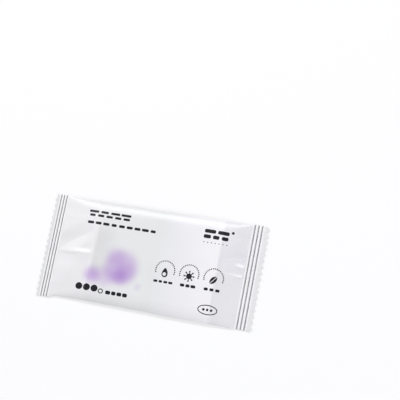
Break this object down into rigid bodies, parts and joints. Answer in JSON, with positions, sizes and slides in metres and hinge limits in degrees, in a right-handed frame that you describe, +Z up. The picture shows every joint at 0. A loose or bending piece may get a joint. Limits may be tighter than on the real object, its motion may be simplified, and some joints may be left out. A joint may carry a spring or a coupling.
{
  "type": "wet wipe sachet",
  "caption": "Sealed flow-wrapped film sachet with a folded wipe inside, ridged zigzag-cut end seals and a fin seal folded flat along its back",
  "frame": {"origin": "under the middle of the sachet, on the surface that its back lies on", "axes": "+X runs along the sachet towards the end with the wider crimped strip, +Y across it towards the top of the print, +Z up out of the printed face"},
  "size_m": [0.135, 0.0638, 0.0044],
  "materials": {
    "printed_film": "white laminated film with a satin sheen, crimped end seals, and a soft lilac and charcoal print"
  },
  "bodies": {
    "root": {"film_sachet": "printed_film"}
  },
  "joints": []
}
